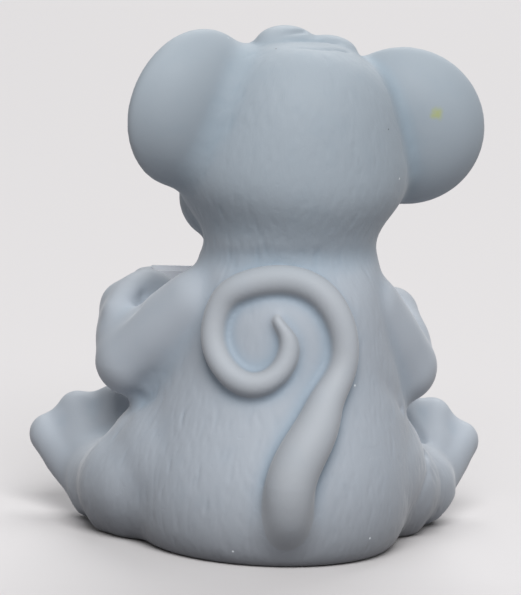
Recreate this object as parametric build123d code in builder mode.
"""Seated mouse figurine as separate solids that peg into one another.

Millimetres, +Z up. The figure faces +Y, its left side is at -X and it rests on Z = 0.
"""

import math
import os

from build123d import *

os.makedirs("parts", exist_ok=True)

# Fits, and the small flat at each pole of a spun form
PEG_CLEARANCE = 0.05
PEG_END_GAP = 0.3
OVERRUN = 40.0
SEAM_FRONT = 90.0
POLE_ANGLE = 4.0
NESTED_SHARE = 0.93

# Torso: height, half width, half depth and shift of each level, bottom first
TORSO_HEIGHT = 27.6
TORSO_WIDTH = 26.8
TORSO_DEPTH = 27.4
TORSO_LEVEL_SHARES = (
    (0.0, 0.425, 0.431, -0.02, -0.033),
    (0.036, 0.466, 0.474, -0.02, -0.029),
    (0.145, 0.5, 0.5, -0.017, -0.015),
    (0.29, 0.492, 0.489, -0.007, -0.004),
    (0.471, 0.452, 0.445, 0.007, 0.007),
    (0.652, 0.403, 0.398, 0.017, 0.011),
    (0.815, 0.358, 0.36, 0.022, 0.0),
    (0.942, 0.325, 0.29, 0.026, 0.01),
    (1.087, 0.295, 0.24, 0.026, 0.025),
)
NECK_SIDE_SHARE = 0.026
NECK_TILT = 7.0
NECK_PEG_RADIUS = 3.5
NECK_PEG_LENGTH = 4.0

# Head, on the neck plane and turned to its left
HEAD_HEIGHT = 20.0
HEAD_WIDTH = 22.3
HEAD_DEPTH = 20.0
HEAD_TURN = 12.0
HEAD_LEVEL_SHARES = (
    (0.0, 0.359, 0.34),
    (0.075, 0.372, 0.385),
    (0.16, 0.413, 0.44),
    (0.26, 0.475, 0.485),
    (0.37, 0.5, 0.5),
    (0.545, 0.475, 0.5),
    (0.7, 0.435, 0.475),
    (0.85, 0.359, 0.4),
    (0.95, 0.233, 0.26),
    (1.0, 0.09, 0.1),
)
MUZZLE_RADIUS = 5.6
MUZZLE_TIP_RADIUS = 3.1
MUZZLE_LENGTH = 7.2
MUZZLE_RISE_SHARE = 0.34
MUZZLE_START_SHARE = 0.2
MUZZLE_DROOP = 8.0
NOSE_RADIUS = 1.9
CHEEK_RADIUS = 4.3
CHEEK_ACROSS_SHARE = 0.2
CHEEK_FORWARD_SHARE = 0.33
CHEEK_RISE_SHARE = 0.25
EYE_RADIUS = 1.7
EYE_HALF_HEIGHT = 2.5
EYE_ACROSS_SHARE = 0.155
EYE_FORWARD_SHARE = 0.4
EYE_RISE_SHARE = 0.6

# Ears: spun dishes, radius and depth shares of the profile from back to front
EAR_RADIUS = 7.7
EAR_DEPTH = 4.9
EAR_FLARE = 25.0
EAR_NOD = 15.0
EAR_LEFT_SPREAD_SHARE = 0.44
EAR_RIGHT_SPREAD_SHARE = 0.458
EAR_SETBACK_SHARE = 0.11
EAR_LEFT_RISE_SHARE = 0.635
EAR_RIGHT_RISE_SHARE = 0.585
EAR_PROFILE_SHARES = (
    (0.05, -0.53),
    (0.44, -0.46),
    (0.78, -0.2),
    (0.95, 0.1),
    (1.0, 0.32),
    (0.95, 0.46),
    (0.8, 0.42),
    (0.45, 0.2),
    (0.05, 0.1),
)
EAR_PEG_RADIUS = 0.9
EAR_PEG_LENGTH = 7.5
EAR_PEG_START_SHARE = 0.25
EAR_PEG_BACK_SHARE = 0.21

# Hair tuft: rounded locks lying on the crown, each with its place in lock lengths, heading and size share
LOCK_RADIUS = 2.0
LOCK_HALF_LENGTH = 3.3
LOCK_SHARES = (
    (-0.34, -0.18, -0.24, 10.0, 1.0),
    (0.88, -0.18, -0.42, -15.0, 0.92),
    (0.25, 0.7, -0.3, 40.0, 1.0),
)
TUFT_PEG_RADIUS = 1.1
TUFT_PEG_LENGTH = 4.0

# Arms: points across, forward and up as shares of the torso, and hands from the book's edges
ARM_SHOULDER_RADIUS = 3.7
ARM_ELBOW_RADIUS = 3.5
ARM_WRIST_RADIUS = 2.7
HAND_RADIUS = 2.5
FINGER_RADIUS = 0.95
FINGER_LENGTH = 3.0
FINGER_PITCH = 1.55
FINGER_HEADING = 42.0
FINGER_ROOT_SHARES = (0.4, 0.65)
SHOULDER_SHARES = (0.291, -0.03, 0.805)
ELBOW_LEFT_SHARES = (0.508, 0.09, 0.6)
WRIST_LEFT_SHARES = (0.512, 0.29, 0.75)
ELBOW_RIGHT_SHARES = (0.455, 0.08, 0.595)
WRIST_RIGHT_SHARES = (0.446, 0.29, 0.745)
HAND_LEFT_SHARES = (0.03, -0.56, 0.825)
HAND_RIGHT_SHARES = (-0.35, -0.4, 0.765)
ARM_PEG_RADIUS = 1.5
ARM_PEG_LENGTH = 7.5

# Legs and upright feet
HAUNCH_RADIUS = 8.0
HAUNCH_HALF_LENGTH = 11.0
HAUNCH_TURN = 38.0
HAUNCH_ASIDE_SHARE = -0.019
HAUNCH_SUNK_SHARE = 0.9
HAUNCH_SHARES = (0.5, -0.018, 0.238)
SHIN_RADIUS = 5.2
ANKLE_RADIUS = 3.9
KNEE_LEFT_SHARES = (0.46, 0.03, 0.165)
KNEE_RIGHT_SHARES = (0.37, 0.08, 0.165)
ANKLE_SHARES = (0.56, 0.25, 0.15)
LEG_PEG_RADIUS = 2.0
LEG_PEG_LENGTH = 6.0
LEG_PEG_START_SHARES = (1.0, 0.31)
HEEL_RADIUS = 2.9
TOE_RADIUS = 2.05
HEEL_SHARES = (0.593, 0.303, 0.101)
TOE_INNER_SHARES = (0.522, 0.5, 0.366)
TOE_MIDDLE_SHARES = (0.653, 0.511, 0.34)
TOE_OUTER_SHARES = (0.754, 0.489, 0.261)
FOOT_PEG_RADIUS = 1.1
FOOT_PEG_LENGTH = 2.3

# Tail: across and up shares of the torso, then thickness and proud shares, root first
TAIL_RADIUS = 2.35
TAIL_SHARES = (
    (-0.018, 0.09, 0.9, -1.0),
    (-0.018, 0.16, 1.0, -0.3),
    (-0.017, 0.225, 1.0, 0.1),
    (-0.007, 0.3, 0.98, 0.3),
    (0.05, 0.42, 0.92, 0.42),
    (0.09, 0.5, 0.8, 0.42),
    (0.128, 0.585, 0.64, 0.42),
    (0.168, 0.685, 0.58, 0.42),
    (0.155, 0.8, 0.58, 0.42),
    (0.09, 0.892, 0.6, 0.42),
    (-0.05, 0.93, 0.6, 0.42),
    (-0.2, 0.88, 0.57, 0.42),
    (-0.252, 0.75, 0.52, 0.42),
    (-0.222, 0.645, 0.5, 0.42),
    (-0.135, 0.598, 0.49, 0.42),
    (-0.045, 0.65, 0.43, 0.42),
    (-0.02, 0.75, 0.35, 0.4),
    (-0.066, 0.825, 0.22, 0.25),
)
TAIL_PEG_RADIUS = 1.1
TAIL_PEG_LENGTH = 4.5
TAIL_PEG_RISE_SHARE = 0.29

# Open book held between the hands
BOOK_WIDTH = 21.6
BOOK_HEIGHT = 11.0
BOOK_SWEEP = 5.0
BOOK_PAGES = 1.3
BOOK_COVER = 0.7
BOOK_MARGIN = 0.5
BOOK_LEAN = 8.0
BOOK_FORWARD_SHARE = 0.59
BOOK_RISE_SHARE = 0.453
BOOK_ASIDE_SHARE = -0.005


def body_point(shares: tuple, side: int) -> Vector:
    """Point given as shares of the torso's width, depth and height.

    Args:
        shares: across, forward and up.
        side: -1 for the figure's left, 1 for its right.

    Returns:
        The point in the figure's frame.
    """
    return Vector(side * shares[0] * TORSO_WIDTH, shares[1] * TORSO_DEPTH, shares[2] * TORSO_HEIGHT)


def spun(place: Plane, outline: list) -> Part:
    """Solid spun about a plane's normal, flat between that axis and the ends of its outline.

    Args:
        place: origin and axis of the solid.
        outline: edges across (x) and along (y) the axis, from one pole to the other.

    Returns:
        The solid of revolution.
    """
    side = Plane(place.origin, x_dir=place.x_dir, z_dir=place.x_dir.cross(place.z_dir))
    first = outline[0] @ 0
    last = outline[-1] @ 1
    with BuildPart(mode=Mode.PRIVATE) as form:
        with BuildSketch(side):
            with BuildLine():
                add(outline)
                Polyline(last, (0, last.Y), (0, first.Y), first)
            make_face()
        revolve(axis=Axis(place.origin, place.z_dir))
    return form.part


def limb(start: Vector, end: Vector, radii: tuple) -> Part:
    """Round-ended limb between two points.

    Args:
        start: centre of the first rounded end.
        end: centre of the second rounded end.
        radii: radius at the start, halfway and at the end.

    Returns:
        The limb as a solid of revolution.
    """
    first, middle, last = radii
    length = (end - start).length
    outline = [
        CenterArc((0, 0), first, POLE_ANGLE - 90, 90 - POLE_ANGLE),
        Spline((first, 0), (middle, length / 2), (last, length), tangents=((0, 1), (0, 1))),
        CenterArc((0, length), last, 0, 90 - POLE_ANGLE),
    ]
    return spun(Plane(start, z_dir=end - start), outline)


def ball(center: Vector, radius: float, half_length: float, axis: Vector) -> Part:
    """Spheroid about an axis.

    Args:
        center: middle of the spheroid.
        radius: radius across the axis.
        half_length: radius along the axis.
        axis: direction of the axis.

    Returns:
        The spheroid.
    """
    arc = 180 - 2 * POLE_ANGLE
    outline = [EllipticalCenterArc((0, 0), radius, half_length, POLE_ANGLE - 90, arc_size=arc)]
    return spun(Plane(center, z_dir=axis), outline)


def pin(place: Plane, radius: float, length: float) -> Part:
    """Round pin that starts on a plane and runs along its normal.

    Args:
        place: start and direction of the pin.
        radius: radius of the pin.
        length: length of the pin.

    Returns:
        The pin.
    """
    with BuildPart(place, mode=Mode.PRIVATE) as form:
        Cylinder(radius, length, align=(Align.CENTER, Align.CENTER, Align.MIN))
    return form.part


def socket(place: Plane, radius: float, length: float) -> Part:
    """Hole form for a pin, with the play round it and past its end.

    Args:
        place: start and direction of the pin.
        radius: radius of the pin.
        length: length of the pin.

    Returns:
        The form to cut away.
    """
    return pin(place, radius + PEG_CLEARANCE, length + PEG_END_GAP)


# Places that more than one piece uses
tilt = math.radians(NECK_TILT)
turn = math.radians(HEAD_TURN)
neck_plane = Plane(
    (NECK_SIDE_SHARE * TORSO_WIDTH, 0, TORSO_HEIGHT),
    x_dir=(math.cos(turn), math.sin(turn), 0),
    z_dir=(0, math.sin(tilt), math.cos(tilt)),
)
neck_pin_plane = Plane(neck_plane.origin, z_dir=-neck_plane.z_dir)


def head_point(across: float, forward: float, up: float) -> Vector:
    """Point given as shares of the head's width, depth and height.

    Args:
        across: share of the width, positive to its right.
        forward: share of the depth.
        up: share of the height above the neck plane.

    Returns:
        The point in the figure's frame.
    """
    local = Vector(across * HEAD_WIDTH, forward * HEAD_DEPTH, up * HEAD_HEIGHT)
    return neck_plane.from_local_coords(local)


def head_direction(across: float, forward: float, up: float) -> Vector:
    """Direction in the head's own frame, turned into the figure's frame.

    Args:
        across: part to its right.
        forward: part forward.
        up: part up.

    Returns:
        The direction.
    """
    return neck_plane.x_dir * across + neck_plane.y_dir * forward + neck_plane.z_dir * up


def ear_plane(side: int, spread: float, rise: float) -> Plane:
    """Ear's centre, with the way that it faces as the normal.

    Args:
        side: -1 for left, 1 for right.
        spread: share of the head's width.
        rise: share of the head's height.

    Returns:
        The plane, with its x direction pointing out from the head.
    """
    flare = math.radians(EAR_FLARE)
    nod = math.radians(EAR_NOD)
    center = head_point(side * spread, -EAR_SETBACK_SHARE, rise)
    outward = head_direction(side * math.cos(flare), -math.sin(flare), 0)
    level = head_direction(side * math.sin(flare), math.cos(flare), 0)
    facing = level * math.cos(nod) + neck_plane.z_dir * math.sin(nod)
    return Plane(center, x_dir=outward, z_dir=facing)


def ear_pin_plane(place: Plane) -> Plane:
    """Start and direction of an ear's peg.

    Args:
        place: the ear's own plane.

    Returns:
        The plane that the peg starts on.
    """
    start = place.origin + place.x_dir * (EAR_PEG_START_SHARE * EAR_RADIUS)
    return Plane(start - place.z_dir * (EAR_PEG_BACK_SHARE * EAR_DEPTH), z_dir=-place.x_dir)


ear_left_plane = ear_plane(-1, EAR_LEFT_SPREAD_SHARE, EAR_LEFT_RISE_SHARE)
ear_right_plane = ear_plane(1, EAR_RIGHT_SPREAD_SHARE, EAR_RIGHT_RISE_SHARE)
ear_points = [(across * EAR_RADIUS, along * EAR_DEPTH) for across, along in EAR_PROFILE_SHARES]
ear_outline = [Spline(*ear_points, tangents=((1, 0), (-1, 0)))]
crown = head_point(0, 0, 1)
tuft_pin_plane = Plane(crown, z_dir=-neck_plane.z_dir)


def arm_pin_plane(side: int, elbow: tuple) -> Plane:
    """Start and direction of an arm's peg, from the upper arm into the torso.

    Args:
        side: -1 for left, 1 for right.
        elbow: shares of the elbow.

    Returns:
        The plane that the peg starts on.
    """
    shoulder = body_point(SHOULDER_SHARES, side)
    outward = body_point(elbow, side) - shoulder
    return Plane(shoulder + outward / 2, z_dir=-outward)


def haunch_center(side: int) -> Vector:
    """Middle of a haunch.

    Args:
        side: -1 for left, 1 for right.

    Returns:
        The point in the figure's frame.
    """
    sunk = side * HAUNCH_SUNK_SHARE * HAUNCH_RADIUS
    return body_point(HAUNCH_SHARES, side) + Vector(HAUNCH_ASIDE_SHARE * TORSO_WIDTH - sunk, 0, 0)


def leg_pin_plane(side: int) -> Plane:
    """Start and direction of a leg's peg, from the haunch into the torso.

    Args:
        side: -1 for left, 1 for right.

    Returns:
        The plane that the peg starts on.
    """
    out, forward = LEG_PEG_START_SHARES
    start = haunch_center(side) + Vector(side * out, forward, 0) * HAUNCH_RADIUS
    return Plane(start, z_dir=(-side, 0, 0))


arm_left_pin_plane = arm_pin_plane(-1, ELBOW_LEFT_SHARES)
arm_right_pin_plane = arm_pin_plane(1, ELBOW_RIGHT_SHARES)
ground = Plane.XY

# Torso without its sockets, which the limbs are cut against
with BuildPart() as torso_form:
    for level, half_width, half_depth, aside, shift in TORSO_LEVEL_SHARES:
        with BuildSketch(Plane.XY.offset(level * TORSO_HEIGHT)):
            with Locations((aside * TORSO_WIDTH, shift * TORSO_DEPTH)):
                Ellipse(half_depth * TORSO_DEPTH, half_width * TORSO_WIDTH, rotation=SEAM_FRONT)
    loft()
    split(bisect_by=neck_plane, keep=Keep.BOTTOM)

# Tail: points on the torso's back, then rings round them
tail_points = []
tail_normals = []
for across, up, _, _ in TAIL_SHARES:
    sight = Axis((across * TORSO_WIDTH, -OVERRUN, up * TORSO_HEIGHT), (0, 1, 0))
    hits = torso_form.part.find_intersection_points(sight)
    point, normal = min(hits, key=lambda hit: hit[0].Y)
    tail_points.append(point)
    tail_normals.append(normal)
tail_centers = []
for point, normal, row in zip(tail_points, tail_normals, TAIL_SHARES):
    tail_centers.append(point + normal * (row[3] * row[2] * TAIL_RADIUS))
tail_line = Spline(*tail_centers)
tail_pin_plane = Plane(
    (tail_centers[3].X, tail_centers[3].Y, TAIL_PEG_RISE_SHARE * TORSO_HEIGHT), z_dir=(0, 1, 0)
)

# Torso
with BuildPart() as torso:
    add(torso_form.part)
    add(socket(neck_pin_plane, NECK_PEG_RADIUS, NECK_PEG_LENGTH), mode=Mode.SUBTRACT)
    add(socket(arm_left_pin_plane, ARM_PEG_RADIUS, ARM_PEG_LENGTH), mode=Mode.SUBTRACT)
    add(socket(arm_right_pin_plane, ARM_PEG_RADIUS, ARM_PEG_LENGTH), mode=Mode.SUBTRACT)
    add(socket(leg_pin_plane(-1), LEG_PEG_RADIUS, LEG_PEG_LENGTH), mode=Mode.SUBTRACT)
    add(socket(leg_pin_plane(1), LEG_PEG_RADIUS, LEG_PEG_LENGTH), mode=Mode.SUBTRACT)
    add(socket(tail_pin_plane, TAIL_PEG_RADIUS, TAIL_PEG_LENGTH), mode=Mode.SUBTRACT)
torso.part.label = "torso"
export_step(torso.part, "parts/torso.step")

# Skull, then the head without its sockets
muzzle_angle = math.radians(MUZZLE_DROOP)
muzzle_way = head_direction(0, math.cos(muzzle_angle), -math.sin(muzzle_angle))
muzzle_start = head_point(0, MUZZLE_START_SHARE, MUZZLE_RISE_SHARE)
muzzle_end = muzzle_start + muzzle_way * MUZZLE_LENGTH
muzzle = limb(muzzle_start, muzzle_end, (MUZZLE_RADIUS, MUZZLE_RADIUS, MUZZLE_TIP_RADIUS))
nose_center = muzzle_end + muzzle_way * MUZZLE_TIP_RADIUS + neck_plane.z_dir * (NOSE_RADIUS / 2)
with BuildPart() as skull_form:
    for level, half_width, half_depth in HEAD_LEVEL_SHARES:
        with BuildSketch(neck_plane.offset(level * HEAD_HEIGHT)):
            Ellipse(half_depth * HEAD_DEPTH, half_width * HEAD_WIDTH, rotation=-SEAM_FRONT)
    loft()

with BuildPart() as head_form:
    add(skull_form.part)
    add(muzzle)
    with Locations(nose_center):
        Sphere(NOSE_RADIUS)
    for side in (-1, 1):
        cheek = head_point(side * CHEEK_ACROSS_SHARE, CHEEK_FORWARD_SHARE, CHEEK_RISE_SHARE)
        with Locations(cheek):
            Sphere(CHEEK_RADIUS)
        eye = head_point(side * EYE_ACROSS_SHARE, EYE_FORWARD_SHARE, EYE_RISE_SHARE)
        add(ball(eye, EYE_RADIUS, EYE_HALF_HEIGHT, neck_plane.z_dir))
    split(bisect_by=neck_plane, keep=Keep.TOP)

# Head
with BuildPart() as head:
    add(head_form.part)
    for place in (ear_left_plane, ear_right_plane):
        add(socket(ear_pin_plane(place), EAR_PEG_RADIUS, EAR_PEG_LENGTH), mode=Mode.SUBTRACT)
    add(socket(tuft_pin_plane, TUFT_PEG_RADIUS, TUFT_PEG_LENGTH), mode=Mode.SUBTRACT)
    add(pin(neck_pin_plane, NECK_PEG_RADIUS, NECK_PEG_LENGTH))
head.part.label = "head"
export_step(head.part, "parts/head.step")

# Ears
with BuildPart() as ear_left:
    add(spun(ear_left_plane, ear_outline))
    add(skull_form.part, mode=Mode.SUBTRACT)
    add(pin(ear_pin_plane(ear_left_plane), EAR_PEG_RADIUS, EAR_PEG_LENGTH))
ear_left.part.label = "ear_left"
export_step(ear_left.part, "parts/ear_left.step")

with BuildPart() as ear_right:
    add(spun(ear_right_plane, ear_outline))
    add(skull_form.part, mode=Mode.SUBTRACT)
    add(pin(ear_pin_plane(ear_right_plane), EAR_PEG_RADIUS, EAR_PEG_LENGTH))
ear_right.part.label = "ear_right"
export_step(ear_right.part, "parts/ear_right.step")

# Hair tuft
with BuildPart() as hair_tuft:
    for across, forward, up, heading, size in LOCK_SHARES:
        way = head_direction(math.cos(math.radians(heading)), math.sin(math.radians(heading)), 0)
        place = crown + head_direction(across, forward, up) * LOCK_HALF_LENGTH
        add(ball(place, size * LOCK_RADIUS, size * LOCK_HALF_LENGTH, way))
    add(skull_form.part, mode=Mode.SUBTRACT)
    add(pin(tuft_pin_plane, TUFT_PEG_RADIUS, TUFT_PEG_LENGTH))
hair_tuft.part.label = "hair_tuft"
export_step(hair_tuft.part, "parts/hair_tuft.step")

# Legs before they are cut: haunch and shin, flat underneath
haunch_turn = math.radians(HAUNCH_TURN)
heel = body_point(HEEL_SHARES, -1)
ankle = body_point(ANKLE_SHARES, -1)
foot_pin_plane = Plane(ankle, z_dir=body_point(KNEE_LEFT_SHARES, -1) - ankle)
leg_forms = []
for side, knee in ((-1, KNEE_LEFT_SHARES), (1, KNEE_RIGHT_SHARES)):
    way = Vector(side * math.sin(haunch_turn), math.cos(haunch_turn), 0)
    shin_ends = (body_point(knee, side), body_point(ANKLE_SHARES, side))
    with BuildPart() as leg_form:
        add(ball(haunch_center(side), HAUNCH_RADIUS, HAUNCH_HALF_LENGTH, way))
        add(limb(*shin_ends, (SHIN_RADIUS, SHIN_RADIUS, ANKLE_RADIUS)))
        split(bisect_by=ground, keep=Keep.TOP)
    leg_forms.append(leg_form.part)
leg_left_form, leg_right_form = leg_forms

# Feet before their pegs: a fan of three toes that spread from the heel
toe_forms = []
for step, toe in enumerate((TOE_MIDDLE_SHARES, TOE_INNER_SHARES, TOE_OUTER_SHARES)):
    nested_heel = NESTED_SHARE**step * HEEL_RADIUS
    toe_forms.append(limb(heel, body_point(toe, -1), (nested_heel, nested_heel, TOE_RADIUS)))
with BuildPart() as foot_form:
    for form in toe_forms:
        add(form)
    split(bisect_by=ground, keep=Keep.TOP)

# Legs
with BuildPart() as leg_left:
    add(leg_left_form)
    add(torso_form.part, mode=Mode.SUBTRACT)
    add(foot_form.part, mode=Mode.SUBTRACT)
    add(pin(leg_pin_plane(-1), LEG_PEG_RADIUS, LEG_PEG_LENGTH))
    add(socket(foot_pin_plane, FOOT_PEG_RADIUS, FOOT_PEG_LENGTH), mode=Mode.SUBTRACT)
leg_left.part.label = "leg_left"
export_step(leg_left.part, "parts/leg_left.step")

with BuildPart() as leg_right:
    add(leg_right_form)
    add(torso_form.part, mode=Mode.SUBTRACT)
    mirror(foot_form.part, about=Plane.YZ, mode=Mode.SUBTRACT)
    add(pin(leg_pin_plane(1), LEG_PEG_RADIUS, LEG_PEG_LENGTH))
    mirror(socket(foot_pin_plane, FOOT_PEG_RADIUS, FOOT_PEG_LENGTH), about=Plane.YZ, mode=Mode.SUBTRACT)
leg_right.part.label = "leg_right"
export_step(leg_right.part, "parts/leg_right.step")

# Feet
with BuildPart() as foot_left:
    add(foot_form.part)
    add(pin(foot_pin_plane, FOOT_PEG_RADIUS, FOOT_PEG_LENGTH))
foot_left.part.label = "foot_left"
export_step(foot_left.part, "parts/foot_left.step")

with BuildPart() as foot_right:
    mirror(foot_form.part, about=Plane.YZ)
    mirror(pin(foot_pin_plane, FOOT_PEG_RADIUS, FOOT_PEG_LENGTH), about=Plane.YZ)
foot_right.part.label = "foot_right"
export_step(foot_right.part, "parts/foot_right.step")

# Book: a bent cover with a thicker block of pages inside it
lean = math.radians(BOOK_LEAN)
book_plane = Plane(
    (BOOK_ASIDE_SHARE * TORSO_WIDTH, BOOK_FORWARD_SHARE * TORSO_DEPTH, BOOK_RISE_SHARE * TORSO_HEIGHT),
    x_dir=(1, 0, 0),
    z_dir=(0, math.sin(lean), math.cos(lean)),
)
half_book = BOOK_WIDTH / 2
half_pages = half_book - BOOK_MARGIN
with BuildPart() as book:
    with BuildSketch(book_plane):
        with BuildLine():
            Polyline(
                (-half_book, -BOOK_SWEEP),
                (0, 0),
                (half_book, -BOOK_SWEEP),
                (half_book, -BOOK_SWEEP - BOOK_COVER),
                (0, -BOOK_COVER),
                (-half_book, -BOOK_SWEEP - BOOK_COVER),
                close=True,
            )
        make_face()
    extrude(amount=BOOK_HEIGHT)
    with BuildSketch(book_plane.offset(BOOK_MARGIN)):
        with BuildLine():
            edge = -BOOK_SWEEP * half_pages / half_book
            Polyline((-half_pages, edge - BOOK_PAGES), (-half_pages, edge), (0, 0), (half_pages, edge),
                     (half_pages, edge - BOOK_PAGES))
            Spline((half_pages, edge - BOOK_PAGES), (half_pages / 2, edge / 2 - BOOK_PAGES - BOOK_COVER),
                   (0, -BOOK_PAGES))
            Spline((-half_pages, edge - BOOK_PAGES), (-half_pages / 2, edge / 2 - BOOK_PAGES - BOOK_COVER),
                   (0, -BOOK_PAGES))
        make_face()
    extrude(amount=BOOK_HEIGHT - 2 * BOOK_MARGIN)
book.part.label = "book"
export_step(book.part, "parts/book.step")


def hand_point(side: int, shares: tuple) -> Vector:
    """Middle of a hand, from the edge of the book that it holds.

    Args:
        side: -1 for left, 1 for right.
        shares: across and forward of the edge in hand radii, and up the book's height.

    Returns:
        The point in the figure's frame.
    """
    across, forward, up = shares
    edge = book_plane.origin + Vector(side * half_book, -BOOK_SWEEP, up * BOOK_HEIGHT)
    return edge + Vector(side * across, forward, 0) * HAND_RADIUS


def arm_forms(side: int, elbow: tuple, wrist: tuple, hand: tuple) -> list:
    """Upper arm, forearm, hand and fingers before they are cut.

    Args:
        side: -1 for left, 1 for right.
        elbow: shares of the elbow.
        wrist: shares of the wrist.
        hand: shares of the hand, from the book's edge.

    Returns:
        The solids to fuse.
    """
    shoulder_at = body_point(SHOULDER_SHARES, side)
    elbow_at = body_point(elbow, side)
    wrist_at = body_point(wrist, side)
    hand_at = hand_point(side, hand)
    heading = math.radians(FINGER_HEADING)
    way = Vector(-side * math.sin(heading), math.cos(heading), 0)
    root = hand_at + Vector(side * FINGER_ROOT_SHARES[0], FINGER_ROOT_SHARES[1], 0) * HAND_RADIUS
    nested_elbow = NESTED_SHARE * ARM_ELBOW_RADIUS
    nested_wrist = NESTED_SHARE * ARM_WRIST_RADIUS
    forms = [
        limb(shoulder_at, elbow_at, (ARM_SHOULDER_RADIUS, ARM_SHOULDER_RADIUS, ARM_ELBOW_RADIUS)),
        limb(elbow_at, wrist_at, (nested_elbow, nested_elbow, ARM_WRIST_RADIUS)),
        limb(wrist_at, hand_at, (nested_wrist, HAND_RADIUS, HAND_RADIUS)),
    ]
    for step in (-1, 0, 1):
        knuckle = root + Vector(0, 0, step * FINGER_PITCH)
        forms.append(limb(knuckle, knuckle + way * FINGER_LENGTH, (FINGER_RADIUS,) * 3))
    return forms


# Arms, cut so that the hands hold the book's edges
with BuildPart() as arm_left:
    for form in arm_forms(-1, ELBOW_LEFT_SHARES, WRIST_LEFT_SHARES, HAND_LEFT_SHARES):
        add(form)
    add(torso_form.part, mode=Mode.SUBTRACT)
    add(head_form.part, mode=Mode.SUBTRACT)
    add(leg_left_form, mode=Mode.SUBTRACT)
    add(book.part, mode=Mode.SUBTRACT)
    add(pin(arm_left_pin_plane, ARM_PEG_RADIUS, ARM_PEG_LENGTH))
arm_left.part.label = "arm_left"
export_step(arm_left.part, "parts/arm_left.step")

with BuildPart() as arm_right:
    for form in arm_forms(1, ELBOW_RIGHT_SHARES, WRIST_RIGHT_SHARES, HAND_RIGHT_SHARES):
        add(form)
    add(torso_form.part, mode=Mode.SUBTRACT)
    add(head_form.part, mode=Mode.SUBTRACT)
    add(leg_right_form, mode=Mode.SUBTRACT)
    add(book.part, mode=Mode.SUBTRACT)
    add(pin(arm_right_pin_plane, ARM_PEG_RADIUS, ARM_PEG_LENGTH))
arm_right.part.label = "arm_right"
export_step(arm_right.part, "parts/arm_right.step")

# Tail: rings lofted along the curl, laid on the back
with BuildPart() as tail:
    for center, normal, row in zip(tail_centers, tail_normals, TAIL_SHARES):
        along = tail_line.tangent_at(tail_line.param_at_point(center))
        with BuildSketch(Plane(center, x_dir=normal, z_dir=along)):
            Circle(row[2] * TAIL_RADIUS)
    loft()
    add(torso_form.part, mode=Mode.SUBTRACT)
    add(head_form.part, mode=Mode.SUBTRACT)
    split(bisect_by=ground, keep=Keep.TOP)
    add(pin(tail_pin_plane, TAIL_PEG_RADIUS, TAIL_PEG_LENGTH))
tail.part.label = "tail"
export_step(tail.part, "parts/tail.step")
